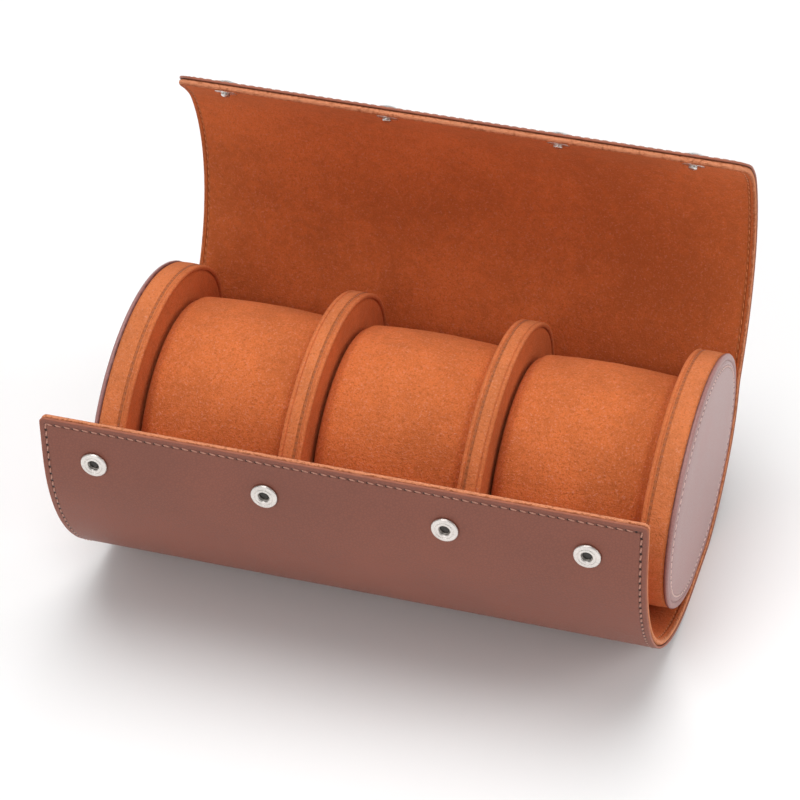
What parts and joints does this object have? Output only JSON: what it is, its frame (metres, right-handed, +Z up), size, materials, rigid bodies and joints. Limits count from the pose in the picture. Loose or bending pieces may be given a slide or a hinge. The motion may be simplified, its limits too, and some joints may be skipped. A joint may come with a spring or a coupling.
{
  "type": "watch travel case",
  "caption": "Oval watch roll: a curved leather wrap with a suede lining folds over soft pillows between padded discs and shuts with ring snaps.",
  "frame": {"origin": "on the table, under the middle of the discs", "axes": "+X along the row of pillows to the right seen from the flap, +Y from the front flap to the lid's root fold, +Z up"},
  "size_m": [0.205, 0.1639, 0.1445],
  "materials": {
    "outer_leather": "smooth, satin",
    "disc_leather": "smooth, satin",
    "lining_suede": "suede nap",
    "pad_suede": "suede nap",
    "band_suede": "suede nap",
    "cushion_suede": "suede nap",
    "board": "pressed board, hidden",
    "cushion_foam": "foam, hidden",
    "snap_metal": "satin nickel"
  },
  "bodies": {
    "core": {"wrap_base_leather": "outer_leather", "wrap_base_board": "board", "wrap_base_lining": "lining_suede", "end_left_core": "board", "end_left_face": "disc_leather", "end_left_piping": "disc_leather", "end_left_band": "band_suede", "end_left_pad": "pad_suede", "end_right_core": "board", "end_right_face": "disc_leather", "end_right_piping": "disc_leather", "end_right_band": "band_suede", "end_right_pad": "pad_suede", "divider_left_core": "board", "divider_left_band": "band_suede", "divider_left_pads": "pad_suede", "divider_right_core": "board", "divider_right_band": "band_suede", "divider_right_pads": "pad_suede"},
    "flap_lower": {"flap_lower_leather": "outer_leather", "flap_lower_board": "board", "flap_lower_lining": "lining_suede"},
    "flap_fold_1": {"flap_fold_1_leather": "outer_leather", "flap_fold_1_lining": "lining_suede"},
    "flap_fold_2": {"flap_fold_2_leather": "outer_leather", "flap_fold_2_lining": "lining_suede"},
    "flap_fold_3": {"flap_fold_3_leather": "outer_leather", "flap_fold_3_lining": "lining_suede"},
    "flap_front": {"flap_front_leather": "outer_leather", "flap_front_board": "board", "flap_front_lining": "lining_suede", "snap_sockets": "snap_metal", "snap_springs": "snap_metal", "snap_rivets": "snap_metal"},
    "lid_fold_1": {"lid_fold_1_leather": "outer_leather", "lid_fold_1_lining": "lining_suede"},
    "lid_fold_2": {"lid_fold_2_leather": "outer_leather", "lid_fold_2_lining": "lining_suede"},
    "lid_panel": {"lid_panel_leather": "outer_leather", "lid_panel_board": "board", "lid_panel_lining": "lining_suede"},
    "lid_front": {"lid_front_leather": "outer_leather", "lid_front_board": "board", "lid_front_lining": "lining_suede", "snap_studs": "snap_metal", "snap_caps": "snap_metal"},
    "pillow_left": {"pillow_left_foam": "cushion_foam", "pillow_left_cover": "cushion_suede"},
    "pillow_middle": {"pillow_middle_foam": "cushion_foam", "pillow_middle_cover": "cushion_suede"},
    "pillow_right": {"pillow_right_foam": "cushion_foam", "pillow_right_cover": "cushion_suede"}
  },
  "joints": [
    {"name": "flap_fold", "type": "hinge", "parent": "core", "child": "flap_lower", "pos_m": [0, -0.02146, 0.00133], "axis": [1, 0, 0], "range_deg": [-16, 9.6]},
    {"name": "flap_fold_2", "type": "hinge", "parent": "flap_lower", "child": "flap_fold_1", "pos_m": [0, -0.0562, 0.01488], "axis": [1, 0, 0], "range_deg": [-15.35, 9.23]},
    {"name": "flap_fold_3", "type": "hinge", "parent": "flap_fold_1", "child": "flap_fold_2", "pos_m": [0, -0.06675, 0.02386], "axis": [1, 0, 0], "range_deg": [-11.45, 6.89]},
    {"name": "flap_fold_4", "type": "hinge", "parent": "flap_fold_2", "child": "flap_fold_3", "pos_m": [0, -0.07553, 0.03458], "axis": [1, 0, 0], "range_deg": [-10.95, 6.59]},
    {"name": "flap_fold_5", "type": "hinge", "parent": "flap_fold_3", "child": "flap_front", "pos_m": [0, -0.08225, 0.0467], "axis": [1, 0, 0], "range_deg": [-14.65, 8.81]},
    {"name": "lid_fold", "type": "hinge", "parent": "core", "child": "lid_fold_1", "pos_m": [0, 0.056, 0.0421], "axis": [-1, 0, 0], "range_deg": [-31.59, 22.11]},
    {"name": "lid_fold_2", "type": "hinge", "parent": "lid_fold_1", "child": "lid_fold_2", "pos_m": [0, 0.06194, 0.0509], "axis": [-1, 0, 0], "range_deg": [-22.17, 15.53]},
    {"name": "lid_fold_3", "type": "hinge", "parent": "lid_fold_2", "child": "lid_panel", "pos_m": [0, 0.06662, 0.06043], "axis": [-1, 0, 0], "range_deg": [-7.62, 5.35]},
    {"name": "lid_press", "type": "hinge", "parent": "lid_panel", "child": "lid_front", "pos_m": [0, 0.06284, 0.1264], "axis": [-1, 0, 0], "range_deg": [0, 9.37]},
    {"name": "pillow_left_lift", "type": "slide", "parent": "core", "child": "pillow_left", "axis": [0, 0, 1], "range_m": [0, 0.075]},
    {"name": "pillow_middle_lift", "type": "slide", "parent": "core", "child": "pillow_middle", "axis": [0, 0, 1], "range_m": [0, 0.075]},
    {"name": "pillow_right_lift", "type": "slide", "parent": "core", "child": "pillow_right", "axis": [0, 0, 1], "range_m": [0, 0.075]}
  ],
  "couplings": [
    {"joint": "flap_fold_2", "follows": "flap_fold", "ratio": 0.95625},
    {"joint": "flap_fold_3", "follows": "flap_fold", "ratio": 0.7125},
    {"joint": "flap_fold_4", "follows": "flap_fold", "ratio": 0.68125},
    {"joint": "flap_fold_5", "follows": "flap_fold", "ratio": 0.9125},
    {"joint": "lid_fold_2", "follows": "lid_fold", "ratio": 0.70003},
    {"joint": "lid_fold_3", "follows": "lid_fold", "ratio": 0.23958}
  ]
}
